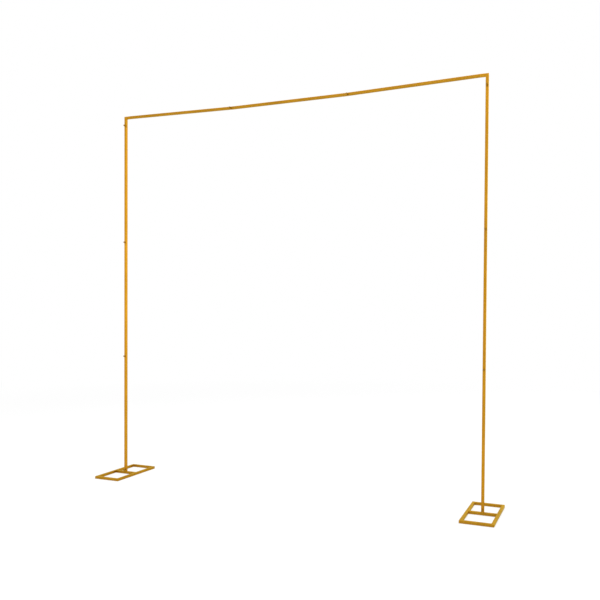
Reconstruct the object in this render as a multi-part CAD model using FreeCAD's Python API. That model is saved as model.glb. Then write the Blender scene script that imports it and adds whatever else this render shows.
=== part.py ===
import FreeCAD, Part
import math
import os

# A wedding arch of square steel tube: two base frames, two posts and a top bar, made to be
# taken apart. Each post is three tubes, the bar is three tubes, and a welded elbow turns each
# corner. The pieces plug together over inner spigots, and a thumb screw through the front
# wall holds each joint but the two where the bar meets an elbow. Only the screws' holes are here.
# The origin is on the floor midway between the posts. X runs along the bar, Y from front to
# back and Z up, in millimetres.

# The arch
POST_SPACING = 2992.0       # between the axes of the posts
BAR_HEIGHT = 2990.0         # from the floor to the axis of the elbows' level legs
LOWER_SEAM = 980.0          # from the floor to the foot of a post's middle tube
UPPER_SEAM = 1936.0         # from the floor to the foot of a post's upper tube
BAR_SEAM = 473.0            # from the middle of the arch to each end of the bar's middle tube

# The square tube
TUBE = 20.0
WALL = 1.0
TUBE_CORNER = 2.0           # outer radius of the section's corners
GROUND_FLAT = 2.0           # width of the flat that is ground on the outer edge of a corner's weld

# The elbows, from the corner where the two axes meet
ELBOW_DROP = 80.0           # to the end of the upright leg
ELBOW_REACH = 50.0          # to the end of the level leg

# The base frames
BASE_WIDTH = 230.0          # along X
BASE_DEPTH = 491.0          # along Y

# The spigots
SPIGOT_WALL = 1.2
SPIGOT_CLEARANCE = 0.35     # on each side, between a spigot and the bore around it
SPIGOT_DEPTH = 50.0         # length inside a straight tube
PLAY_TAKEN = 0.72           # share of the joints' play that the weight of the bar takes up

# The screw holes
SCREW_HOLE = 6.0            # diameter
SCREW_SETBACK = 15.0        # from the end of the tube to the hole's axis

BORE = TUBE - 2.0 * WALL
SPIGOT = BORE - 2.0 * SPIGOT_CLEARANCE
SPIGOT_CORNER = TUBE_CORNER - WALL
POST_X = POST_SPACING / 2.0
ELBOW_END_X = POST_X - ELBOW_REACH
ELBOW_END_Z = BAR_HEIGHT - ELBOW_DROP

# A spigot inside an elbow stops where the elbow's other leg begins.
DEPTH_UP_ELBOW = ELBOW_DROP - TUBE / 2.0
DEPTH_ALONG_ELBOW = ELBOW_REACH - TUBE / 2.0

X_AXIS = FreeCAD.Vector(1, 0, 0)
Y_AXIS = FreeCAD.Vector(0, 1, 0)
Z_AXIS = FreeCAD.Vector(0, 0, 1)


def point(x, y, z):
    return FreeCAD.Vector(x, y, z)


def rounded_rectangle(width, depth, radius):
    """A closed outline centred on the origin, in the XY plane."""
    right = width / 2.0
    back = depth / 2.0
    slant = radius * (1.0 - math.sqrt(0.5))
    edges = []
    for turn, along, across in ((0, right, back), (90, back, right), (180, right, back), (270, back, right)):
        spin = FreeCAD.Rotation(Z_AXIS, turn)
        foot = spin.multVec(point(along, radius - across, 0))
        head = spin.multVec(point(along, across - radius, 0))
        edges.append(Part.LineSegment(foot, head).toShape())
        if radius > 0:
            crown = spin.multVec(point(along - slant, across - slant, 0))
            tail = spin.multVec(point(along - radius, across, 0))
            edges.append(Part.Arc(head, crown, tail).toShape())
    return Part.Wire(edges)


def square_tube(start, end, side, wall, corner):
    """A straight length of square tube, with two of its sides parallel to the Y axis or the Z axis."""
    inside = side - 2.0 * wall
    outline = rounded_rectangle(side, side, corner)
    bore = rounded_rectangle(inside, inside, max(corner - wall, 0.0))
    section = Part.makeFace([outline, bore], "Part::FaceMakerBullseye")
    length = section.extrude(Z_AXIS * (end - start).Length)
    length.Placement = FreeCAD.Placement(start, FreeCAD.Rotation(Z_AXIS, end - start))
    return length


def arch_tube(start, end):
    return square_tube(start, end, TUBE, WALL, TUBE_CORNER)


def spigot_tube(start, end):
    return square_tube(start, end, SPIGOT, SPIGOT_WALL, SPIGOT_CORNER)


def drilled(tube, x, z):
    """The tube with a screw hole through its front wall."""
    front = point(x, -TUBE, z)
    return tube.cut(Part.makeCylinder(SCREW_HOLE / 2.0, TUBE, front, Y_AXIS))


def spigot(joint, way_in, way_out, depth_in, depth_out):
    """The inner tube of a joint, between a piece that comes along way_in and one that leaves along
    way_out. Its axis crosses each piece's axis halfway down the bore, so the clearance allows the
    joint a small bend."""
    before = joint - way_in * (depth_in / 2.0)
    after = joint + way_out * (depth_out / 2.0)
    along = (after - before).normalize()
    start = before - along * (depth_in / 2.0)
    end = after + along * (depth_out / 2.0)
    return spigot_tube(start, end)


def joint_play(depth_in, depth_out):
    """The largest angle, in radians, that a spigot's clearance lets a joint bend."""
    return 2.0 * SPIGOT_CLEARANCE * (1.0 / depth_in + 1.0 / depth_out)


def mitred_rail(along, across):
    """One side of a welded frame, parallel to Y: a tube that ends in a mitre at each corner. The
    corners are along from the middle of the frame in Y and across from it in X."""
    axis = across - TUBE / 2.0
    tube = arch_tube(point(axis, -along, TUBE / 2.0), point(axis, along, TUBE / 2.0))
    # The outline runs in along the mitre to the flat that is ground on the corner's weld, out along
    # that flat, and back the same way, and it passes the tube on all sides.
    ground_back = GROUND_FLAT / math.sqrt(8.0)
    inner = point(across - 2.0 * TUBE, along - 2.0 * TUBE, -TUBE)
    weld = point(across - ground_back, along - ground_back, -TUBE)
    outer = weld + point(TUBE, -TUBE, 0)
    far_end = [point(p.x, -p.y, p.z) for p in (outer, weld, inner)]
    outline = Part.makePolygon([inner, weld, outer] + far_end + [inner])
    return tube.common(Part.Face(outline).extrude(Z_AXIS * (3.0 * TUBE)))


def base_frame(x, side):
    """Four mitred rails welded into a frame, the cross bar that carries the post, and its spigot."""
    half_width = BASE_WIDTH / 2.0
    half_depth = BASE_DEPTH / 2.0
    towards_right = "outer_rail" if x > 0 else "inner_rail"
    towards_left = "inner_rail" if x > 0 else "outer_rail"
    pieces = {}
    for rail_name, turn, along, across in ((towards_right, 0, half_depth, half_width),
                                           ("back_rail", 90, half_width, half_depth),
                                           (towards_left, 180, half_depth, half_width),
                                           ("front_rail", 270, half_width, half_depth)):
        rail = mitred_rail(along, across)
        rail.rotate(point(0, 0, 0), Z_AXIS, turn)
        rail.translate(point(x, 0, 0))
        pieces[side + "_base_" + rail_name] = rail
    reach = half_width - TUBE
    pieces[side + "_base_cross_bar"] = arch_tube(point(x - reach, 0, TUBE / 2.0),
                                                 point(x + reach, 0, TUBE / 2.0))
    pieces[side + "_base_spigot"] = spigot_tube(point(x, 0, TUBE), point(x, 0, TUBE + SPIGOT_DEPTH))
    return pieces


def post(x, side):
    """Three tubes over the spigots of the base and of each other, each with a hole near its foot."""

    def length_of_post(bottom, top):
        tube = arch_tube(point(x, 0, bottom), point(x, 0, top))
        return drilled(tube, x, bottom + SCREW_SETBACK)

    def upright_spigot(height, depth_above):
        return spigot(point(x, 0, height), Z_AXIS, Z_AXIS, SPIGOT_DEPTH, depth_above)

    return {
        side + "_post_lower": length_of_post(TUBE, LOWER_SEAM),
        side + "_post_middle": length_of_post(LOWER_SEAM, UPPER_SEAM),
        side + "_post_upper": length_of_post(UPPER_SEAM, ELBOW_END_Z),
        side + "_post_lower_spigot": upright_spigot(LOWER_SEAM, SPIGOT_DEPTH),
        side + "_post_upper_spigot": upright_spigot(UPPER_SEAM, SPIGOT_DEPTH),
        side + "_elbow_post_spigot": upright_spigot(ELBOW_END_Z, DEPTH_UP_ELBOW),
    }


def elbow(x):
    """Two short legs mitred and welded at the corner, with the bore open from end to end."""
    inward = -1.0 if x > 0 else 1.0
    lower_end = point(x, 0, ELBOW_END_Z)
    corner = point(x, 0, BAR_HEIGHT)
    level_end = point(inward * -ELBOW_END_X, 0, BAR_HEIGHT)
    path = Part.Wire([Part.LineSegment(lower_end, corner).toShape(),
                      Part.LineSegment(corner, level_end).toShape()])

    def swept(side, radius):
        profile = rounded_rectangle(side, side, radius)
        profile.translate(lower_end)
        sharp_corner = 1
        return path.makePipeShell([profile], True, False, sharp_corner)

    bore = swept(BORE, max(TUBE_CORNER - WALL, 0.0))
    pipe = swept(TUBE, TUBE_CORNER).cut(bore)

    # The weld on the outer edge of the corner is ground to a flat at 45 degrees.
    outward = point(-inward, 0, 1).normalize()
    edge = corner + point(-inward, 0, 1) * (TUBE / 2.0)
    ground_away = Part.makeBox(2.0 * TUBE, 2.0 * TUBE, TUBE, point(-TUBE, -TUBE, 0))
    ground_away.Placement = FreeCAD.Placement(edge - outward * (GROUND_FLAT / 2.0),
                                              FreeCAD.Rotation(Z_AXIS, outward))
    return drilled(pipe.cut(ground_away), x, ELBOW_END_Z + SCREW_SETBACK)


def top_bar():
    """Three tubes that hang in a shallow sag, which takes up part of the play in the four joints."""
    bend = PLAY_TAKEN * min(joint_play(SPIGOT_DEPTH, SPIGOT_DEPTH),
                            joint_play(DEPTH_ALONG_ELBOW, SPIGOT_DEPTH))
    middle_height = BAR_HEIGHT - (ELBOW_END_X - BAR_SEAM) * math.tan(bend)
    middle = arch_tube(point(-BAR_SEAM, 0, middle_height), point(BAR_SEAM, 0, middle_height))
    pieces = {"top_bar_middle": middle}
    for side, sign in (("left", -1.0), ("right", 1.0)):
        outer_joint = point(sign * ELBOW_END_X, 0, BAR_HEIGHT)
        inner_joint = point(sign * BAR_SEAM, 0, middle_height)
        level = X_AXIS * -sign
        slope = (inner_joint - outer_joint).normalize()
        # The ends are cut square, so at a bend the tube stops short until only the edges meet.
        edge_gap = slope * (TUBE / 2.0 * math.tan(bend))
        tube = arch_tube(outer_joint + edge_gap, inner_joint - edge_gap)
        screw = inner_joint - slope * SCREW_SETBACK
        pieces["top_bar_" + side] = drilled(tube, screw.x, screw.z)
        pieces[side + "_elbow_bar_spigot"] = spigot(outer_joint, level, slope,
                                                    DEPTH_ALONG_ELBOW, SPIGOT_DEPTH)
        pieces["top_bar_" + side + "_spigot"] = spigot(inner_joint, slope, level,
                                                       SPIGOT_DEPTH, SPIGOT_DEPTH)
    return pieces


def wedding_arch():
    pieces = {}
    for side, x in (("left", -POST_X), ("right", POST_X)):
        pieces.update(base_frame(x, side))
        pieces.update(post(x, side))
        pieces[side + "_elbow"] = elbow(x)
    pieces.update(top_bar())
    return pieces


os.makedirs("parts", exist_ok=True)
for name, shape in wedding_arch().items():
    solid = shape.Solids[0]
    solid.exportStep("parts/" + name + ".step")
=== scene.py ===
import itertools
import math

import bpy
from mathutils import Matrix, Vector, noise


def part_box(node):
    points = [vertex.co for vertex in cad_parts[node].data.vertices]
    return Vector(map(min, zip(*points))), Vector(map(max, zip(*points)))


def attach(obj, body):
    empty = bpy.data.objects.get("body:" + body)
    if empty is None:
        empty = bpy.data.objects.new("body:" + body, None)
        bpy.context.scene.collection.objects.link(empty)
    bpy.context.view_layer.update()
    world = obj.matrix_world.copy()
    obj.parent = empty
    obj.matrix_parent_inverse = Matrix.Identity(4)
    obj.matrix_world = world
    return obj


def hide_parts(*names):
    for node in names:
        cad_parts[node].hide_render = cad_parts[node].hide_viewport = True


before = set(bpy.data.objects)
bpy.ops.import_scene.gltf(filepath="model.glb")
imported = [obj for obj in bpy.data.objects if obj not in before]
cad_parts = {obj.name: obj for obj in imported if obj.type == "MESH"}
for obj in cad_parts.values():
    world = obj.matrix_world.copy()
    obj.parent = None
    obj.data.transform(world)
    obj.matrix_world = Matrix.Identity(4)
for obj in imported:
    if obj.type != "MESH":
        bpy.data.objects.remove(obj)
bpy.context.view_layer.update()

# Base frames
# Each is four rails of square steel tube, mitred and welded into a flat rectangle on the floor,
# with a cross bar welded in at the middle. Tube and welds are powder coated together in satin gold.
TUBE = 0.020
WALL = 0.001
SECTION_CORNER = 0.002          # outer radius of the section's corners
SECTION_CORNER_STEPS = 9
LIP_ROUND = 0.00022             # radius on the edges of a cut end
LIP_STEPS = 4
GROUND_FLAT = 0.002             # width of the flat that is ground on a mitre's outer edge
HOLE_SIDES = 48
SMALLEST_HOLE = 0.0001          # a smaller hole radius means no hole
LIP_PAST_MITRE = 0.02           # how far beyond a mitre a tube's lip is taken to be
FLAT_FACING = 0.9995            # a face that looks this straight out is part of a flat side
X_WAY = Vector((1, 0, 0))
Y_WAY = Vector((0, 1, 0))
Z_WAY = Vector((0, 0, 1))
SIDES = {"left": -1.0, "right": 1.0}


class Tree:
    """A node tree that is wired up one line at a time."""

    def __init__(self, tree):
        self.tree = tree

    def feed(self, socket, value):
        """Links the socket to a socket or to a node's first output, or else sets its value."""
        if isinstance(value, bpy.types.NodeSocket):
            self.tree.links.new(value, socket)
        elif isinstance(value, bpy.types.Node):
            self.tree.links.new(value.outputs[0], socket)
        else:
            socket.default_value = value

    def node(self, kind, settings=None, **inputs):
        made = self.tree.nodes.new(kind)
        for name, value in (settings or {}).items():
            setattr(made, name, value)
        for name, value in inputs.items():
            self.feed(made.inputs[name.replace("_", " ")], value)
        return made

    def math(self, operation, first, second=0.0, third=0.0):
        made = self.tree.nodes.new("ShaderNodeMath")
        made.operation = operation
        for socket, value in zip(made.inputs, (first, second, third)):
            self.feed(socket, value)
        return made.outputs[0]

    def sum(self, *values):
        total = values[0]
        for value in values[1:]:
            total = self.math("ADD", total, value)
        return total

    def times(self, first, second):
        return self.math("MULTIPLY", first, second)

    def size_of(self, value):
        return self.math("ABSOLUTE", value)

    def larger(self, first, second):
        return self.math("MAXIMUM", first, second)

    def vector_math(self, operation, first, second=(0.0, 0.0, 0.0)):
        made = self.tree.nodes.new("ShaderNodeVectorMath")
        made.operation = operation
        self.feed(made.inputs[0], first)
        self.feed(made.inputs[1], second)
        return made.outputs["Value" if operation == "LENGTH" else "Vector"]

    def parts_of(self, vector):
        return self.node("ShaderNodeSeparateXYZ", Vector=vector).outputs

    def ramp(self, value, low, high):
        """Goes from 0 to 1 as the value goes from low to high. Low may be the higher number."""
        made = self.node("ShaderNodeMapRange", {"interpolation_type": "SMOOTHSTEP"}, Value=value)
        self.feed(made.inputs["From Min"], low)
        self.feed(made.inputs["From Max"], high)
        return made.outputs["Result"]

    def mix(self, amount, first, second):
        made = self.node("ShaderNodeMix", {"data_type": "RGBA"}, Factor=amount)
        for socket, value in ((made.inputs["A"], first), (made.inputs["B"], second)):
            self.feed(socket, value + (1.0,) if isinstance(value, tuple) else value)
        return made.outputs["Result"]

    def noise(self, place, scale, detail, roughness=0.5):
        made = self.node("ShaderNodeTexNoise", Vector=place, Scale=scale, Detail=detail,
                         Roughness=roughness)
        return made.outputs["Fac"]

    def store(self, geometry, kind, name, value):
        """The geometry with a value kept at each point, for a material or a later node to read."""
        return self.node("GeometryNodeStoreNamedAttribute", {"data_type": kind},
                         Geometry=geometry, Name=name, Value=value)

    def stored(self, name):
        return self.node("ShaderNodeAttribute", {"attribute_name": name}).outputs

    def result(self, geometry, finish):
        """Ends a geometry tree with plain geometry in its own material."""
        plain = self.node("GeometryNodeRealizeInstances", Geometry=geometry)
        finished = self.node("GeometryNodeSetMaterial", Geometry=plain, Material=finish)
        self.node("NodeGroupOutput", Geometry=finished)


def new_tree(name, **inputs):
    """A geometry node tree with the named inputs, each given by its kind of socket."""
    group = bpy.data.node_groups.new(name, "GeometryNodeTree")
    for label, kind in inputs.items():
        group.interface.new_socket(label.replace("_", " "), in_out="INPUT",
                                   socket_type="NodeSocket" + kind)
    group.interface.new_socket("Geometry", in_out="OUTPUT", socket_type="NodeSocketGeometry")
    t = Tree(group)
    return group, t, t.node("NodeGroupInput").outputs


def square_tube_tree():
    """The tube's wall, swept once round its section, so the lips are rounded and the bore open."""
    group, t, given = new_tree("square tube", Length="Float", Side="Float", Wall="Float",
                               Corner="Float", Lip="Float", Mitre_Start="Float",
                               Mitre_End="Float", Ground_Flat="Float", Hole_Radius="Float",
                               Hole_Place="Float", Seed="Float", Finish="Material")
    half = t.times(given["Length"], 0.5)
    midline = t.math("SUBTRACT", given["Side"], given["Wall"])
    section = t.node("GeometryNodeCurvePrimitiveQuadrilateral", Width=midline, Height=midline)
    section = t.node("GeometryNodeFilletCurve", {"mode": "POLY"}, Curve=section,
                     Count=SECTION_CORNER_STEPS,
                     Radius=t.math("MULTIPLY_ADD", given["Wall"], -0.5, given["Corner"]))
    wall = t.node("GeometryNodeCurvePrimitiveQuadrilateral", Width=given["Wall"],
                  Height=given["Length"])
    wall = t.node("GeometryNodeFilletCurve", {"mode": "POLY"}, Curve=wall, Count=LIP_STEPS,
                  Radius=given["Lip"])
    swept = t.node("GeometryNodeCurveToMesh", Curve=section, Profile_Curve=wall)

    drill = t.node("GeometryNodeMeshCylinder", Vertices=HOLE_SIDES, Radius=given["Hole Radius"],
                   Depth=given["Side"])
    front = t.node("ShaderNodeCombineXYZ", Y=t.times(given["Side"], -0.5), Z=given["Hole Place"])
    drill = t.node("GeometryNodeTransform", Geometry=drill, Translation=front,
                   Rotation=(math.radians(90), 0.0, 0.0))
    drilled = t.node("GeometryNodeMeshBoolean", {"operation": "DIFFERENCE", "solver": "EXACT"},
                     Mesh_1=swept, Mesh_2=drill)
    with_hole = t.node("GeometryNodeSwitch", {"input_type": "GEOMETRY"},
                       Switch=t.math("GREATER_THAN", given["Hole Radius"], SMALLEST_HOLE))
    t.feed(with_hole.inputs["False"], swept)
    t.feed(with_hole.inputs["True"], drilled)

    place = t.node("GeometryNodeInputPosition")
    x, y, z = t.parts_of(place)
    upper = t.math("GREATER_THAN", z, 0.0)
    slant = t.math("MULTIPLY_ADD", upper,
                   t.math("SUBTRACT", given["Mitre End"], given["Mitre Start"]),
                   given["Mitre Start"])
    # A mitred end has no open lip to wear, so its lip is marked as if it were further on.
    lip = t.math("MULTIPLY_ADD", t.size_of(slant), LIP_PAST_MITRE, half)
    marked = t.store(with_hole, "FLOAT_VECTOR", "tube_place", place)
    marked = t.store(marked, "FLOAT", "lip_at", lip)
    marked = t.store(marked, "FLOAT", "tube_seed", given["Seed"])
    facing = t.parts_of(t.node("GeometryNodeInputNormal"))
    straight_out = t.larger(t.size_of(facing["X"]), t.size_of(facing["Y"]))
    shaded = t.node("GeometryNodeSetShadeSmooth", Geometry=marked,
                    Shade_Smooth=t.math("LESS_THAN", straight_out, FLAT_FACING))

    # The outer edge of a mitre is ground back to a flat, square to the mitre.
    ground_edge = t.math("MULTIPLY_ADD", given["Ground Flat"], -math.sqrt(0.5), given["Side"])
    highest = t.math("SUBTRACT", t.sum(given["Length"], ground_edge),
                     t.times(x, given["Mitre End"]))
    lowest = t.math("SUBTRACT", t.times(x, t.times(given["Mitre Start"], -1.0)), ground_edge)
    height = t.math("MINIMUM", t.sum(z, half, t.times(x, slant)), highest)
    height = t.larger(height, lowest)
    mitred = t.node("GeometryNodeSetPosition", Geometry=shaded,
                    Position=t.node("ShaderNodeCombineXYZ", X=x, Y=y, Z=height))
    t.result(mitred, given["Finish"])
    return group


def put_in_scene(name, data):
    made = bpy.data.objects.new(name, data)
    bpy.context.scene.collection.objects.link(made)
    return made


def grown_mesh(name, tree, start=None, **values):
    """The plain mesh that a node tree makes. Its inputs are found by name and set by identifier."""
    seed = put_in_scene(name + "_seed", start or bpy.data.meshes.new(name + "_seed"))
    modifier = seed.modifiers.new("shape", "NODES")
    modifier.node_group = tree
    for item in tree.interface.items_tree:
        key = item.name.replace(" ", "_")
        if item.in_out == "INPUT" and key in values:
            modifier[item.identifier] = values[key]
    seen = bpy.context.evaluated_depsgraph_get()
    mesh = bpy.data.meshes.new_from_object(seed.evaluated_get(seen),
                                           preserve_all_data_layers=True, depsgraph=seen)
    mesh.name = name
    seed.modifiers.remove(modifier)
    bpy.data.objects.remove(seed)
    return mesh


def place_piece(name, mesh, slot, *nodes):
    """Puts a finished mesh in the scene as a piece of the arch, in place of any given nodes."""
    piece = put_in_scene(name, mesh)
    if nodes:
        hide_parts(*nodes)
    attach(piece, "root")


def joined(name, meshes):
    """One mesh of several that share a material, with their attributes kept."""
    shape = put_in_scene(name, meshes[0])
    others = [put_in_scene(name + "_part", mesh) for mesh in meshes[1:]]
    with bpy.context.temp_override(active_object=shape,
                                   selected_editable_objects=[shape] + others):
        bpy.ops.object.join()
    whole = shape.data
    bpy.data.objects.remove(shape)
    return whole


square_tube = square_tube_tree()
tube_numbers = itertools.count(1)


def run_of_tube(name, start, end, across, finish, mitre_start=0.0, mitre_end=0.0, hole=0.0,
                hole_at=0.0):
    """Square tube from start to end. Its local X points across, its hole is in its -Y side."""
    way = end - start
    mesh = grown_mesh(name, square_tube, Length=way.length, Side=TUBE, Wall=WALL,
                      Corner=SECTION_CORNER, Lip=LIP_ROUND, Mitre_Start=mitre_start,
                      Mitre_End=mitre_end, Ground_Flat=GROUND_FLAT, Hole_Radius=hole,
                      Hole_Place=hole_at - way.length / 2, Seed=float(next(tube_numbers)),
                      Finish=finish)
    up = way.normalized()
    side = across.normalized()
    turn = Matrix((side, up.cross(side), up)).transposed().to_4x4()
    mesh.transform(Matrix.Translation(start) @ turn)
    return mesh


# The base's gold is the posts' coat painted darker: painted shade on the frames down by the floor.
BASE_GOLD = (0.445, 0.222, 0.015)
BASE_GOLD_DEEP = (0.350, 0.166, 0.008)
BASE_DUST = 0.05
BASE_WELD_DUST = 0.04
EDGE_GOLD = (1.0, 0.92, 0.24, 1.0)
BARE_STEEL = (0.330, 0.295, 0.245)
DUST = (0.50, 0.43, 0.33)
COAT_METALLIC = 0.82
COAT_ROUGHNESS = 0.27
COAT_RELIEF = 0.00005
FLAKE_SPARKLE = 0.16            # spread in brightness from flake to flake
# Scales of the coat's patterns: roughly how many times in a metre each repeats
DRIFT = 4.0
CLOUDS = 75.0
ORANGE_PEEL = 620.0
FLAKES = 2600.0
SCRATCHES = 2900.0
SCRATCH_LENGTHENING = (1.0, 1.0, 0.011)
SCRATCH_SHIFT = 3.7             # from tube to tube, so that no two are scratched alike
SCRATCHED_ALL_OVER = 0.14
SCRATCHED_NEAR_LIP = 0.6
SCRATCHED_ON_CORNER = 0.22
SCRATCH_STRENGTH = 0.75
SCRATCH_BRIGHTER = 1.25
SCRATCH_PALER = 0.03
CHIP_STRENGTH = 0.85
CHIP_LINE = -0.0021             # from the lip, before its two kinds of raggedness are added
CHIP_RAGGED = 0.0030
CHIP_FINELY_RAGGED = 0.0010
# The value at which each thing starts to show, and the value at which it shows in full
TONE_SHOWS = (0.32, 0.68)
SCRATCH_SHOWS = (0.655, 0.70)
SCRATCHED_PATCH_SHOWS = (0.40, 0.62)
CORNER_CHIP_SHOWS = (0.735, 0.755)
LIP_CHIP_SHOWS = (0.00015, -0.0001)
CORNER_SHOWS = (TUBE / 2 - SECTION_CORNER * 0.9, TUBE / 2 - SECTION_CORNER * 0.35)
HANDLING_SHOWS = (0.11, 0.0)    # distances from a lip
DUST_SHOWS = (0.55, 0.98)


def new_material(name):
    material = bpy.data.materials.new(name)
    material.use_nodes = True
    return material, Tree(material.node_tree), material.node_tree.nodes["Principled BSDF"]


def gold_coat(name, light, deep, on_tube=True, dust=0.0):
    """Satin gold powder coat with fine flakes, orange peel and a slow drift in tone. On a tube it
    also has fine scratches and chips. Dust is the share that lies on what faces up."""
    material, t, shader = new_material(name)
    place = t.node("ShaderNodeTexCoord").outputs["Object"]
    drift = t.noise(place, DRIFT, detail=2.0)
    cloud = t.noise(place, CLOUDS, detail=5.0, roughness=0.62)
    peel = t.noise(place, ORANGE_PEEL, detail=1.5)
    flake = t.node("ShaderNodeTexVoronoi", Vector=place, Scale=FLAKES).outputs["Color"]
    flake = t.node("ShaderNodeSeparateColor", Color=flake).outputs["Red"]
    tone = t.ramp(t.sum(t.times(drift, 0.55), t.times(cloud, 0.45)), *TONE_SHOWS)
    colour = t.node("ShaderNodeHueSaturation", Color=t.mix(tone, deep, light),
                    Value=t.math("MULTIPLY_ADD", flake, FLAKE_SPARKLE, 1.0 - FLAKE_SPARKLE / 2))
    colour = colour.outputs["Color"]
    rough = t.sum(t.times(cloud, 0.14), t.times(flake, 0.08), COAT_ROUGHNESS)
    height = t.sum(t.times(peel, 0.7), t.times(flake, 0.12))
    if on_tube:
        local = t.stored("tube_place")["Vector"]
        x, y, z = t.parts_of(local)
        from_lip = t.math("SUBTRACT", t.stored("lip_at")["Fac"], t.size_of(z))
        corner = t.ramp(t.math("MINIMUM", t.size_of(x), t.size_of(y)), *CORNER_SHOWS)
        # Scratches run along the tube, and gather near its lips and its corners.
        seed = t.stored("tube_seed")["Fac"]
        strung = t.vector_math("ADD", t.vector_math("MULTIPLY", local, SCRATCH_LENGTHENING),
                               t.node("ShaderNodeCombineXYZ", X=seed,
                                      Y=t.times(seed, SCRATCH_SHIFT)))
        lines = t.ramp(t.noise(strung, SCRATCHES, detail=2.0), *SCRATCH_SHOWS)
        handled = t.sum(SCRATCHED_ALL_OVER,
                        t.times(t.ramp(from_lip, *HANDLING_SHOWS), SCRATCHED_NEAR_LIP),
                        t.times(corner, SCRATCHED_ON_CORNER))
        scratch = t.times(lines, t.times(handled, t.ramp(cloud, *SCRATCHED_PATCH_SHOWS)))
        # Chips go through to the steel, along a ragged line at an open lip and here and there
        # on a corner.
        ragged = t.sum(t.times(cloud, CHIP_RAGGED), t.times(peel, CHIP_FINELY_RAGGED), CHIP_LINE)
        lip_chip = t.ramp(t.math("SUBTRACT", from_lip, ragged), *LIP_CHIP_SHOWS)
        chip = t.larger(lip_chip, t.times(t.ramp(cloud, *CORNER_CHIP_SHOWS), corner))
        scratched = tuple(min(1.0, c * SCRATCH_BRIGHTER + SCRATCH_PALER) for c in light)
        colour = t.mix(t.times(scratch, SCRATCH_STRENGTH), colour, scratched)
        colour = t.mix(t.times(chip, CHIP_STRENGTH), colour, BARE_STEEL)
        rough = t.sum(rough, t.times(scratch, 0.12), t.times(chip, 0.14))
        height = t.sum(height, t.times(scratch, -0.25), t.times(chip, -0.9))
    if dust:
        facing = t.parts_of(t.node("ShaderNodeNewGeometry").outputs["Normal"])
        settled = t.times(t.ramp(facing["Z"], *DUST_SHOWS),
                          t.math("MULTIPLY_ADD", cloud, dust, dust * 0.4))
        colour = t.mix(settled, colour, DUST)
        rough = t.sum(rough, t.times(settled, 0.5))
    t.feed(shader.inputs["Base Color"], colour)
    t.feed(shader.inputs["Roughness"], rough)
    shader.inputs["Metallic"].default_value = COAT_METALLIC
    shader.inputs["Specular Tint"].default_value = EDGE_GOLD
    bump = t.node("ShaderNodeBump", Height=height, Strength=0.7, Distance=COAT_RELIEF)
    t.feed(shader.inputs["Normal"], bump)
    return material


base_gold = gold_coat("base_gold", BASE_GOLD, BASE_GOLD_DEEP, dust=BASE_DUST)
base_corners = {side: [] for side in SIDES}
base_tees = {side: [] for side in SIDES}
for side, sign in SIDES.items():
    outer_low, outer_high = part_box(f"{side}_base_outer_rail")
    inner_low, inner_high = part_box(f"{side}_base_inner_rail")
    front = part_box(f"{side}_base_front_rail")[0].y
    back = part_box(f"{side}_base_back_rail")[1].y
    bar_low, bar_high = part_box(f"{side}_base_cross_bar")
    centre = (bar_low + bar_high) / 2
    half_width = (max(outer_high.x, inner_high.x) - min(outer_low.x, inner_low.x)) / 2
    half_depth = (back - front) / 2
    for rail, out, reach, along in (("back_rail", Y_WAY, half_depth, half_width),
                                    ("front_rail", -Y_WAY, half_depth, half_width),
                                    ("outer_rail", X_WAY * sign, half_width, half_depth),
                                    ("inner_rail", X_WAY * -sign, half_width, half_depth)):
        run = out.cross(Z_WAY) * (along - TUBE / 2)
        axis = centre + out * (reach - TUBE / 2)
        node = f"{side}_base_{rail}"
        mesh = run_of_tube(node, axis - run, axis + run, out, base_gold, mitre_start=-1.0,
                           mitre_end=1.0)
        place_piece(node + "_tube", mesh, "base_paint", node)
        base_corners[side].append((axis + run, -run.normalized(), -out))
    node = f"{side}_base_cross_bar"
    left_end = Vector((bar_low.x, centre.y, centre.z))
    right_end = Vector((bar_high.x, centre.y, centre.z))
    mesh = run_of_tube(node, left_end, right_end, Y_WAY, base_gold)
    place_piece(node + "_tube", mesh, "base_paint", node)
    base_tees[side] += [(left_end, X_WAY), (right_end, -X_WAY)]

# Welds of the base frames
# The mitres are welded all round, then ground back nearly flush outside, with a rippled fillet left
# inside the corner. The cross bar's ends are run in with a small bead and left as welded.
GROUND_WELD_REACH = 0.0019      # from the mitre to each edge of the ground band
GROUND_WELD_PROUD = 0.00004
WELD_EDGE_SUNK = 0.00003
FILLET_REACH = 0.0034
FILLET_FADE = 0.004             # the fillet fades in between once and twice this from the axis
WELD_SPACING = 0.00035
WELD_STATIONS = 12
WELD_WANDER = 400.0             # scale of the unevenness along a weld
WELD_UNEVENNESS = 0.4
RIPPLE_WANDER = 0.25
RIPPLE_BOW = 0.3                # how far a ripple's two ends trail behind its middle
RIPPLE_SHALLOWS = 0.2           # share of a ripple's depth that is filled in
BEAD_RADIUS = 0.0017
BEAD_SIDES = 14
BEAD_CORNER_STEPS = 6
BEAD_RIPPLE = 0.0019
BEAD_RIPPLE_DEPTH = 0.00028
BEAD_STEP = 0.14                # as a share of a ripple
BEAD_WANDER = 420.0
BEAD_RIPPLE_SHIFT = 0.0012
BEAD_OFF_TUBE = 0.0002
BEAD_FOOT = -0.0078             # from the tube's axis
BEAD_TOP = TUBE / 2 - 0.0010


def section_ring(half, radius, spacing):
    """Places round a rounded square section, each with its way out, as complex numbers."""
    flat = half - radius
    flat_steps = round(2 * flat / spacing)
    arc_steps = round(radius * math.pi / 2 / spacing)
    ring = []
    for quarter in range(4):
        spin = 1j ** quarter
        for i in range(flat_steps):
            ring.append((complex(half, flat * (2 * i / flat_steps - 1)) * spin, spin))
        for i in range(arc_steps):
            turn = math.pi / 2 * i / arc_steps
            way = complex(math.cos(turn), math.sin(turn)) * spin
            ring.append((complex(flat, flat) * spin + way * radius, way))
    return ring


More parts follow.
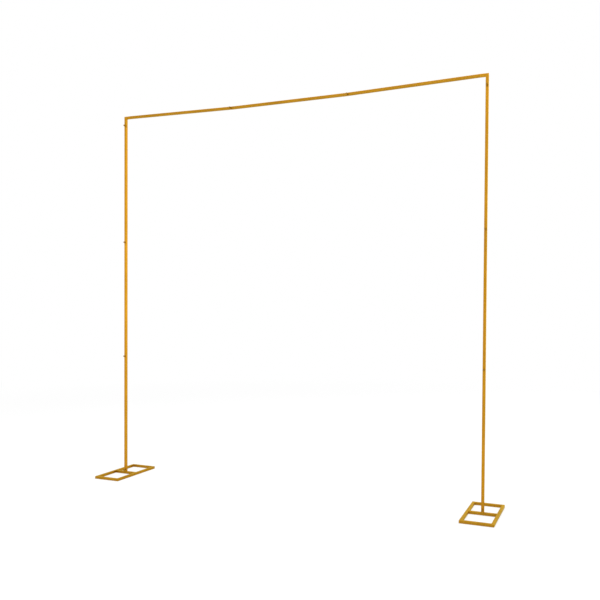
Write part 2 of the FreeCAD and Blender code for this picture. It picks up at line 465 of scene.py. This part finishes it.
def plain_mesh(name, points, edges=(), faces=()):
    mesh = bpy.data.meshes.new(name)
    mesh.from_pydata(points, edges, faces)
    return mesh


def mitre_weld(name, corner, first, second, finish):
    """A weld all round a mitre between tubes that leave the corner along first and second, at
    right angles: a low ground band outside, a rippled fillet inside."""
    across = first.cross(second)
    ring = section_ring(TUBE / 2, SECTION_CORNER, WELD_SPACING)
    points = []
    for place, way in ring:
        heel = corner - (first + second) * place.real + across * place.imag
        inside = min(1.0, max(0.0, -place.real / FILLET_FADE - 1.0))
        reach = GROUND_WELD_REACH + (FILLET_REACH - GROUND_WELD_REACH) * inside
        flat = GROUND_FLAT * math.sqrt(0.5) - 2 * (TUBE / 2 - place.real)
        for i in range(WELD_STATIONS + 1):
            # A station runs from -1 on the first tube, through 0 on the mitre, to 1 on the second.
            station = 2 * i / WELD_STATIONS - 1
            angle = math.pi / 4 * (1 + station)
            along_first = max(0.0, -station * reach)
            along_second = max(0.0, station * reach)
            if abs(station) * reach < flat:
                along_first = (flat - station * reach) / 2
                along_second = (flat + station * reach) / 2
            along_first += inside * (reach * (1 - math.sin(angle)) - along_first)
            along_second += inside * (reach * (1 - math.cos(angle)) - along_second)
            on_surface = heel + first * along_first + second * along_second
            wander = noise.noise(on_surface * WELD_WANDER)
            beat = (place.imag / BEAD_RIPPLE + RIPPLE_BOW * station * station
                    + RIPPLE_WANDER * wander)
            swell = abs(math.sin(beat * math.pi)) + WELD_UNEVENNESS * wander - RIPPLE_SHALLOWS
            ripple = max(0.0, -way.real) * BEAD_RIPPLE_DEPTH * max(0.0, swell)
            proud = GROUND_WELD_PROUD * (1 + WELD_UNEVENNESS * wander) + ripple
            lift = proud * (1 - station * station) - WELD_EDGE_SUNK * station * station
            bisecting = first * math.sin(angle) + second * math.cos(angle)
            spot = on_surface + (across * way.imag - bisecting * way.real) * lift
            spot.z = max(spot.z, 0.0)
            points.append(spot)
        # Two more points, within the walls, close the band on its inner side.
        outward = across * way.imag - (first + second) * way.real
        for leg in (second, first):
            points.append(heel + leg * reach - outward * WALL * 0.5)
    count = WELD_STATIONS + 3
    faces = []
    for i in range(len(ring)):
        here = i * count
        after = ((i + 1) % len(ring)) * count
        for j in range(count):
            beyond = (j + 1) % count
            faces.append((here + j, after + j, after + beyond, here + beyond))
    mesh = plain_mesh(name, points, faces=faces)
    mesh.shade_smooth()
    mesh.materials.append(finish)
    return mesh


def weld_bead_tree():
    """A bead that follows a path, swelling at each ripple as the torch was moved on."""
    group, t, given = new_tree("weld bead", Path="Geometry", Radius="Float", Ripple="Float",
                               Ripple_Depth="Float", Finish="Material")
    path = t.node("GeometryNodeMeshToCurve", Mesh=given["Path"])
    path = t.node("GeometryNodeFilletCurve", {"mode": "POLY"}, Curve=path,
                  Count=BEAD_CORNER_STEPS, Radius=SECTION_CORNER)
    path = t.node("GeometryNodeResampleCurve", {"mode": "LENGTH"}, Curve=path,
                  Length=t.times(given["Ripple"], BEAD_STEP))
    path = t.store(path, "FLOAT", "along", t.node("GeometryNodeSplineParameter").outputs["Length"])
    ring = t.node("GeometryNodeCurvePrimitiveCircle", Resolution=BEAD_SIDES,
                  Radius=given["Radius"])
    bead = t.node("GeometryNodeCurveToMesh", Curve=path, Profile_Curve=ring, Fill_Caps=True)
    along = t.node("GeometryNodeInputNamedAttribute", {"data_type": "FLOAT"}, Name="along")
    wander = t.noise(t.node("GeometryNodeInputPosition"), BEAD_WANDER, detail=1.0)
    beat = t.math("DIVIDE", t.sum(along.outputs["Attribute"], t.times(wander, BEAD_RIPPLE_SHIFT)),
                  given["Ripple"])
    swell = t.size_of(t.math("SINE", t.times(beat, math.pi)))
    push = t.times(given["Ripple Depth"], t.sum(swell, wander, -1.0))
    out = t.node("ShaderNodeVectorMath", {"operation": "SCALE"},
                 Vector=t.node("GeometryNodeInputNormal"), Scale=push)
    bead = t.node("GeometryNodeSetPosition", Geometry=bead, Offset=out)
    bead = t.node("GeometryNodeSetShadeSmooth", Geometry=bead)
    t.result(bead, given["Finish"])
    return group


weld_bead = weld_bead_tree()
# The base welds carry the same painted shade as the base tubes.
base_weld_gold = gold_coat("base_weld_gold", BASE_GOLD, BASE_GOLD_DEEP, on_tube=False,
                           dust=BASE_WELD_DUST)
for side in SIDES:
    parts = [mitre_weld(f"{side}_mitre", corner, first, second, base_weld_gold)
             for corner, first, second in base_corners[side]]
    path_points = []
    path_edges = []
    for end, inward in base_tees[side]:
        first_index = len(path_points)
        root = end + inward * BEAD_OFF_TUBE
        beside = TUBE / 2 + BEAD_OFF_TUBE
        # Up the front of the cross bar's end, over its top and down its back
        for y, z in ((-beside, BEAD_FOOT), (-beside, BEAD_TOP), (beside, BEAD_TOP),
                     (beside, BEAD_FOOT)):
            path_points.append(root + Vector((0, y, z)))
        path_edges += [(first_index + i, first_index + i + 1) for i in range(3)]
    path = plain_mesh(side + "_bead_path", path_points, path_edges)
    parts.append(grown_mesh(side + "_beads", weld_bead, path, Radius=BEAD_RADIUS,
                            Ripple=BEAD_RIPPLE, Ripple_Depth=BEAD_RIPPLE_DEPTH,
                            Finish=base_weld_gold))
    place_piece(side + "_base_welds", joined(side + "_base_welds", parts), "base_paint")

# Posts
# Each post is three lengths of the same tube, each slipped over the spigot below it. The front wall
# of each has one hole near its lower end for a thumb screw.
POST_GOLD = (0.570, 0.270, 0.016)
POST_GOLD_DEEP = (0.470, 0.212, 0.010)
SCREW_HOLE_RADIUS = 0.003
SCREW_SETBACK = 0.015
post_gold = gold_coat("post_gold", POST_GOLD, POST_GOLD_DEEP)
screw_seats = {"post": [], "elbow": [], "bar": []}
for side in SIDES:
    for part in ("lower", "middle", "upper"):
        node = f"{side}_post_{part}"
        low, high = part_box(node)
        x = (low.x + high.x) / 2
        mesh = run_of_tube(node, Vector((x, 0, low.z)), Vector((x, 0, high.z)), X_WAY, post_gold,
                           hole=SCREW_HOLE_RADIUS, hole_at=SCREW_SETBACK)
        place_piece(node + "_tube", mesh, "post_paint", node)
        screw_seats["post"].append(Vector((x, -TUBE / 2, low.z + SCREW_SETBACK)))

# Elbows
# Each joins a post to the bar: two short legs of the same tube, mitred at the corner, welded and
# ground. The upright leg is slipped over the post's top spigot and held by a thumb screw.
# The elbows' gold is the posts' coat painted a little darker: painted shade on the elbows.
ELBOW_GOLD = (0.540, 0.262, 0.016)
ELBOW_GOLD_DEEP = (0.440, 0.203, 0.010)
elbow_gold = gold_coat("elbow_gold", ELBOW_GOLD, ELBOW_GOLD_DEEP)
elbow_weld_gold = gold_coat("elbow_weld_gold", ELBOW_GOLD, ELBOW_GOLD_DEEP, on_tube=False)
for side, sign in SIDES.items():
    node = side + "_elbow"
    low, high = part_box(node)
    heel = Vector((sign * (max(abs(low.x), abs(high.x)) - TUBE / 2), 0, high.z - TUBE / 2))
    toe = Vector((sign * min(abs(low.x), abs(high.x)), 0, heel.z))
    foot = Vector((heel.x, 0, low.z))
    upright = run_of_tube(node, foot, heel, X_WAY, elbow_gold, mitre_end=sign,
                          hole=SCREW_HOLE_RADIUS, hole_at=SCREW_SETBACK)
    level = run_of_tube(node, toe, heel, Z_WAY, elbow_gold, mitre_end=1.0)
    place_piece(node + "_tube", joined(node + "_tube", [upright, level]), "elbow_paint", node)
    weld = mitre_weld(node + "_weld", heel, -Z_WAY, -X_WAY * sign, elbow_weld_gold)
    place_piece(node + "_weld", weld, "elbow_paint")
    screw_seats["elbow"].append(foot + Vector((0, -TUBE / 2, SCREW_SETBACK)))

# Top bar
# Three lengths of the same tube on inner spigots. The play in the joints lets the outer lengths dip
# a little towards the middle one, and a thumb screw holds each inner joint.
# The bar's gold is the posts' coat painted a shade darker: painted shade on the bar.
BAR_GOLD = (0.475, 0.232, 0.016)
BAR_GOLD_DEEP = (0.380, 0.178, 0.010)
bar_gold = gold_coat("bar_gold", BAR_GOLD, BAR_GOLD_DEEP)


def tube_ends(node):
    """Centres of the two ends of a straight tube that lies roughly along X."""
    places = [vertex.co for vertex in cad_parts[node].data.vertices]
    ends = []
    for limit in (min(p.x for p in places), max(p.x for p in places)):
        face = [p for p in places if abs(p.x - limit) < TUBE / 8]
        ends.append(Vector([(min(p[i] for p in face) + max(p[i] for p in face)) / 2
                            for i in range(3)]))
    return ends


for part in ("left", "middle", "right"):
    node = "top_bar_" + part
    left_end, right_end = tube_ends(node)
    hole = 0.0 if part == "middle" else SCREW_HOLE_RADIUS
    way = (right_end - left_end).normalized()
    hole_at = SCREW_SETBACK if part == "right" else (right_end - left_end).length - SCREW_SETBACK
    mesh = run_of_tube(node, left_end, right_end, way.cross(Y_WAY), bar_gold, hole=hole,
                       hole_at=hole_at)
    place_piece(node + "_tube", mesh, "bar_paint", node)
    if hole:
        screw_seats["bar"].append(left_end + way * hole_at - Y_WAY * TUBE / 2)

# Spigots
# Short lengths of plain cold-drawn steel tube, each welded into one length of tube, or onto a cross
# bar, and slipped into the next. They are left uncoated and hidden once the arch is up.
SPIGOT_STEEL = (0.33, 0.32, 0.30)
SPIGOT_STEEL_DARK = (0.20, 0.19, 0.18)
DRAW_LINES = 1400.0
DRAW_LINE_RELIEF = 0.00003
OIL_FILM = 90.0


def drawn_steel(name, lengthening):
    """Cold-drawn steel with its fine draw lines along the spigot and a film of dark oil."""
    material, t, shader = new_material(name)
    place = t.node("ShaderNodeTexCoord").outputs["Object"]
    lines = t.noise(t.vector_math("MULTIPLY", place, lengthening), DRAW_LINES, detail=3.0)
    film = t.noise(place, OIL_FILM, detail=4.0)
    tone = t.sum(t.times(lines, 0.6), t.times(film, 0.4))
    t.feed(shader.inputs["Base Color"], t.mix(tone, SPIGOT_STEEL_DARK, SPIGOT_STEEL))
    t.feed(shader.inputs["Roughness"], t.sum(t.times(film, 0.2), t.times(lines, 0.12), 0.22))
    shader.inputs["Metallic"].default_value = 1.0
    bump = t.node("ShaderNodeBump", Height=lines, Strength=0.5, Distance=DRAW_LINE_RELIEF)
    t.feed(shader.inputs["Normal"], bump)
    return material


upright_steel = drawn_steel("upright_spigot_steel", (1.0, 1.0, 0.02))
level_steel = drawn_steel("level_spigot_steel", (0.02, 1.0, 1.0))
for name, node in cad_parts.items():
    if name.endswith("_spigot"):
        node.data.materials.clear()
        node.data.materials.append(level_steel if "bar" in name else upright_steel)

# Thumb screws
# Turned brass-plated steel with a straight-knurled head, one through the front wall at each joint
# but the two where the bar meets an elbow. Each is driven into the spigot inside, so a little
# thread is left showing between collar and tube.
SCREW_GOES_IN = 0.0030          # behind the tube's face
SCREW_DEPTH_SPREAD = 0.0012
THREAD_SHOWS = 0.0056           # in front of it, on the screw that stands out furthest
THREAD_RADIUS = 0.0029
THREAD_PITCH = 0.0010
THREAD_DEPTH = 0.00042
THREAD_STEPS = 27
HEAD_RADIUS = 0.0070
HEAD_DISH = 0.0103              # from the end of the thread to the bottom of the head's dish
KNURLS = 30
KNURL_DEPTH = 0.00050
STEPS_PER_KNURL = 4
# The collar and head as turned: radius, distance from the end of the thread, share of the knurl
HEAD_PROFILE = ((0.0044, 0.0001, 0.0),
                (0.0048, 0.0005, 0.0),
                (0.0048, 0.0030, 0.0),
                (0.0052, 0.0033, 0.0),
                (0.0061, 0.0034, 0.0),
                (0.0068, 0.0038, 0.4),
                (HEAD_RADIUS, 0.0043, 1.0),
                (HEAD_RADIUS, 0.0104, 1.0),
                (0.0067, 0.0108, 0.4),
                (0.0061, 0.0112, 0.0),
                (0.0048, 0.0112, 0.0),
                (0.0045, 0.0104, 0.0))
PLATING = (0.360, 0.190, 0.026)
PLATING_DEEP = (0.220, 0.110, 0.012)
# The colour of the painted highlight on the knurl's crests.
PLATING_PAINTED_HIGHLIGHT = (0.760, 0.480, 0.130)
PLATING_EDGE = (1.0, 0.75, 0.30, 1.0)
PLATING_FILM = 260.0
TOOL_RINGS = 6500.0
TOOL_RING_RELIEF = 0.00003


def turned_screw():
    """One thumb screw with its axis along Y, its head towards -Y and the tube's face at Y = 0."""
    # A ring's radius, how far out it is, and how much of the knurl and of the thread is cut there
    rings = [(THREAD_RADIUS, -SCREW_GOES_IN, 0.0, 1.0)]
    rings += [(THREAD_RADIUS, THREAD_SHOWS * i / THREAD_STEPS, 0.0, 1.0)
              for i in range(THREAD_STEPS + 1)]
    rings += [(radius, THREAD_SHOWS + out, knurled, 0.0) for radius, out, knurled in HEAD_PROFILE]
    around = KNURLS * STEPS_PER_KNURL
    points = []
    for radius, out, knurled, threaded in rings:
        for i in range(around):
            angle = 2 * math.pi * i / around
            groove = 1.0 - abs(1.0 - 2.0 * (i % STEPS_PER_KNURL) / STEPS_PER_KNURL)
            thread = abs(2.0 * ((out / THREAD_PITCH + i / around) % 1.0) - 1.0)
            cut = knurled * KNURL_DEPTH * groove + threaded * THREAD_DEPTH * thread
            reach = radius - cut
            points.append((reach * math.cos(angle), -out, reach * math.sin(angle)))
    tip = len(points)
    dish = tip + 1
    points += [(0.0, SCREW_GOES_IN, 0.0), (0.0, -THREAD_SHOWS - HEAD_DISH, 0.0)]
    last = tip - around
    faces = []
    for i in range(around):
        after = (i + 1) % around
        faces.append((tip, after, i))
        faces.append((dish, last + i, last + after))
        for ring in range(0, last, around):
            beyond = ring + around
            faces.append((ring + i, ring + after, beyond + after, beyond + i))
    mesh = plain_mesh("turned_screw", points, faces=faces)
    mesh.shade_smooth()
    return mesh


def thumb_screw_tree():
    """A screw at each given point, each turned to its own angle and driven to its own depth."""
    group, t, given = new_tree("thumb screws", Seats="Geometry", Screw="Object",
                               Depth_Spread="Float", Seed="Int", Finish="Material")
    seats = t.node("GeometryNodeMeshToPoints", Mesh=given["Seats"])
    screw = t.node("GeometryNodeObjectInfo", Object=given["Screw"]).outputs["Geometry"]
    screw = t.store(screw, "FLOAT_VECTOR", "screw_place", t.node("GeometryNodeInputPosition"))
    chance = t.node("FunctionNodeRandomValue", {"data_type": "FLOAT_VECTOR"}, Seed=given["Seed"])
    chance = t.parts_of(chance.outputs["Value"])
    turn = t.node("ShaderNodeCombineXYZ", Y=t.times(chance["X"], 2 * math.pi))
    depth = t.node("ShaderNodeCombineXYZ", Y=t.times(chance["Y"], given["Depth Spread"]))
    screws = t.node("GeometryNodeInstanceOnPoints", Points=seats, Instance=screw, Rotation=turn)
    screws = t.node("GeometryNodeTranslateInstances", Instances=screws, Translation=depth)
    t.result(screws, given["Finish"])
    return group


def plated_screw():
    """Brass plating over turned steel, with tool rings on the faces and a painted highlight on the
    knurl's crests.
    """
    material, t, shader = new_material("screw_plating")
    place = t.node("ShaderNodeTexCoord").outputs["Object"]
    local = t.stored("screw_place")["Vector"]
    radial = t.vector_math("LENGTH", t.vector_math("MULTIPLY", local, (1.0, 0.0, 1.0)))
    film = t.noise(place, PLATING_FILM, detail=4.0)
    rings = t.noise(t.node("ShaderNodeCombineXYZ", X=radial), TOOL_RINGS, detail=1.0)
    # The knurl's outer crests are painted brighter: a painted highlight.
    crest_highlight = t.ramp(radial, HEAD_RADIUS - KNURL_DEPTH * 0.55, HEAD_RADIUS)
    colour = t.mix(film, PLATING_DEEP, PLATING)
    colour = t.mix(t.times(crest_highlight, 0.55), colour, PLATING_PAINTED_HIGHLIGHT)
    t.feed(shader.inputs["Base Color"], colour)
    t.feed(shader.inputs["Roughness"], t.sum(t.times(film, 0.22), t.times(rings, 0.08), 0.14))
    shader.inputs["Metallic"].default_value = 1.0
    shader.inputs["Specular Tint"].default_value = PLATING_EDGE
    bump = t.node("ShaderNodeBump", Height=rings, Strength=0.35, Distance=TOOL_RING_RELIEF)
    t.feed(shader.inputs["Normal"], bump)
    return material


plating = plated_screw()
thumb_screws = thumb_screw_tree()
blank = put_in_scene("screw_blank", turned_screw())
for seed, (name, seat_places) in enumerate(screw_seats.items()):
    seats = plain_mesh(name + "_seats", seat_places)
    mesh = grown_mesh(name + "_thumb_screws", thumb_screws, seats, Screw=blank,
                      Depth_Spread=SCREW_DEPTH_SPREAD, Seed=seed, Finish=plating)
    place_piece(name + "_thumb_screws", mesh, name + "_paint")
bpy.data.objects.remove(blank)

# Floor
# A plain pale studio floor that the arch stands on. It takes the arch's soft shadow close by, and
# runs out to white further off, so no horizon shows.
FLOOR_HALF = 60.0
FLOOR_WHITE = (0.88, 0.88, 0.88)
FLOOR_GREY = tuple(c * 0.985 for c in FLOOR_WHITE)
FLOOR_GRAIN = 35.0
FLOOR_FADES = (2.5, 9.0)        # distances from the middle between which it runs out to white
FLOOR_GLOW = 0.62               # share of plain white in what is seen of it near the arch


def looked_at(t):
    """1 for a camera, mirror or glass ray, and 0 for the light that a surface throws on others."""
    rays = t.node("ShaderNodeLightPath").outputs
    direct = t.larger(rays["Is Camera Ray"], rays["Is Glossy Ray"])
    return t.larger(direct, rays["Is Transmission Ray"])


floor_corners = [(x * FLOOR_HALF, y * FLOOR_HALF, 0.0)
                 for x, y in ((-1, -1), (1, -1), (1, 1), (-1, 1))]
floor = put_in_scene("floor", plain_mesh("floor", floor_corners, faces=[(0, 1, 2, 3)]))
pale_floor, t, shader = new_material("pale_floor")
place = t.node("ShaderNodeTexCoord").outputs["Object"]
grain = t.noise(place, FLOOR_GRAIN, detail=6.0)
t.feed(shader.inputs["Base Color"], t.mix(grain, FLOOR_GREY, FLOOR_WHITE))
shader.inputs["Roughness"].default_value = 0.85
shader.inputs["Specular IOR Level"].default_value = 0.2
far = t.ramp(t.vector_math("LENGTH", place), *FLOOR_FADES)
white_share = t.times(looked_at(t), t.math("MULTIPLY_ADD", far, 1.0 - FLOOR_GLOW, FLOOR_GLOW))
glow = t.node("ShaderNodeEmission", Strength=1.0)
floor_mix = t.node("ShaderNodeMixShader", Fac=white_share)
t.feed(floor_mix.inputs[1], shader)
t.feed(floor_mix.inputs[2], glow)
t.feed(pale_floor.node_tree.nodes["Material Output"].inputs["Surface"], floor_mix)
floor.data.materials.append(pale_floor)

# Light
# A white room all round with three large soft boxes: the main one overhead, a weak one at the back
# right that lights the right-hand sides of the posts, and a weaker one at the front left.
ROOM_LEVEL = 0.62
world = bpy.data.worlds.new("studio")
bpy.context.scene.world = world
world.use_nodes = True
t = Tree(world.node_tree)
room = world.node_tree.nodes["Background"]
room.inputs["Color"].default_value = (1.0, 1.0, 1.0, 1.0)
t.feed(room.inputs["Strength"],
       t.math("MULTIPLY_ADD", looked_at(t), 1.0 - ROOM_LEVEL, ROOM_LEVEL))


def soft_box(name, place, aim, size, power):
    """A flat lamp of the given width and height that faces the point it is aimed at."""
    lamp = bpy.data.lights.new(name, "AREA")
    lamp.shape = "RECTANGLE"
    lamp.size, lamp.size_y = size
    lamp.energy = power
    holder = put_in_scene(name, lamp)
    holder.location = place
    holder.rotation_euler = (Vector(aim) - Vector(place)).to_track_quat("-Z", "Y").to_euler()


soft_box("overhead", place=(0.4, -0.6, 8.0), aim=(0.0, 0.0, 0.0), size=(13.0, 12.0), power=790.0)
soft_box("back_right", place=(3.8, 5.8, 2.8), aim=(-1.2, 0.0, 1.5), size=(6.0, 5.4), power=112.0)
soft_box("front_left", place=(-6.5, -5.5, 2.0), aim=(-1.0, 0.0, 1.5), size=(5.0, 4.0), power=34.0)

# Camera
# It stands in front of the arch and to its right, at about chest height, and looks across it a
# little below level, as in the photograph.
CAMERA_PLACE = Vector((2.285, -4.742, 1.403))
CAMERA_YAW = math.radians(22.05)
CAMERA_PITCH = math.radians(-1.14)
CAMERA_ROLL = math.radians(0.37)
FOCAL_PIXELS = 689.9
VIEW_CENTRE = (330.5, 322.7)
PHOTO_SIDE = 600.0
lens = bpy.data.cameras.new("camera")
lens.sensor_width = 36.0
lens.lens = FOCAL_PIXELS / PHOTO_SIDE * lens.sensor_width
lens.shift_x = 0.5 - VIEW_CENTRE[0] / PHOTO_SIDE
lens.shift_y = VIEW_CENTRE[1] / PHOTO_SIDE - 0.5
lens.clip_end = 200.0
forward = Vector((-math.sin(CAMERA_YAW) * math.cos(CAMERA_PITCH),
                  math.cos(CAMERA_YAW) * math.cos(CAMERA_PITCH), math.sin(CAMERA_PITCH)))
level_right = Vector((math.cos(CAMERA_YAW), math.sin(CAMERA_YAW), 0.0))
level_up = level_right.cross(forward)
right = level_right * math.cos(CAMERA_ROLL) + level_up * math.sin(CAMERA_ROLL)
up = level_up * math.cos(CAMERA_ROLL) - level_right * math.sin(CAMERA_ROLL)
turn = Matrix((right, up, -forward)).transposed().to_4x4()
camera = put_in_scene("camera", lens)
camera.matrix_world = Matrix.Translation(CAMERA_PLACE) @ turn
bpy.context.scene.camera = camera
bpy.context.scene.view_settings.view_transform = "Standard"
